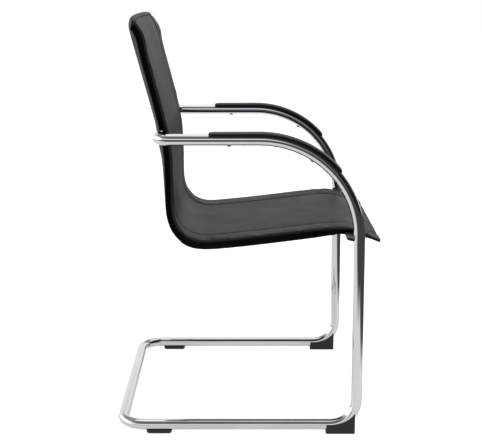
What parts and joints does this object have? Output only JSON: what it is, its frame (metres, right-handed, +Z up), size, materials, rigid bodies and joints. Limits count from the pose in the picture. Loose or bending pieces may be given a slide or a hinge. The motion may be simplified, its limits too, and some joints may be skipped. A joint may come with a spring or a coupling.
{
  "type": "cantilever chair",
  "caption": "Cantilever armchair: bent round tube frame with curved arms and pads, one-piece upholstered seat and back with a waterfall front edge.",
  "frame": {"origin": "on the floor, under the middle of the chair's outline", "axes": "+X forward, the way the sitter faces; +Y to the sitter's left; +Z up"},
  "size_m": [0.5809, 0.586, 0.9005],
  "materials": {
    "chrome": "polished",
    "black_steel": "satin",
    "zinc_steel": "satin",
    "pad_plastic": "satin",
    "foot_plastic": "matte",
    "leatherette": "satin",
    "black_fabric": "matte"
  },
  "bodies": {
    "root": {"arm_joint_screw_left": "zinc_steel", "arm_joint_screw_right": "zinc_steel", "arm_joint_sleeve_left": "zinc_steel", "arm_joint_sleeve_right": "zinc_steel", "arm_pad_left": "pad_plastic", "arm_pad_right": "pad_plastic", "arm_pad_screws_left": "zinc_steel", "arm_pad_screws_right": "zinc_steel", "back_cover": "leatherette", "back_crossbar": "chrome", "back_support_sheet": "black_fabric", "base_joint_screws": "zinc_steel", "base_joint_sleeve": "zinc_steel", "centre_panel": "leatherette", "frame_left": "chrome", "frame_right": "chrome", "front_foot_left": "foot_plastic", "front_foot_right": "foot_plastic", "front_foot_screws": "zinc_steel", "inner_back_strap": "black_steel", "inner_front_rail": "black_steel", "inner_lower_rail_left": "black_steel", "inner_lower_rail_right": "black_steel", "inner_lumbar_strap": "black_steel", "inner_seat_strap": "black_steel", "inner_top_rail": "black_steel", "inner_upper_rail_left": "black_steel", "inner_upper_rail_right": "black_steel", "lower_gusset_left": "black_fabric", "lower_gusset_right": "black_fabric", "rear_glide_left": "foot_plastic", "rear_glide_right": "foot_plastic", "rear_glide_screws": "zinc_steel", "seat_bolts": "zinc_steel", "seat_cover": "leatherette", "seat_cross_bar": "black_steel", "seat_support_sheet": "black_fabric", "seat_washers": "zinc_steel", "side_border_left": "leatherette", "side_border_right": "leatherette", "upper_gusset_left": "black_fabric", "upper_gusset_right": "black_fabric"}
  },
  "joints": []
}
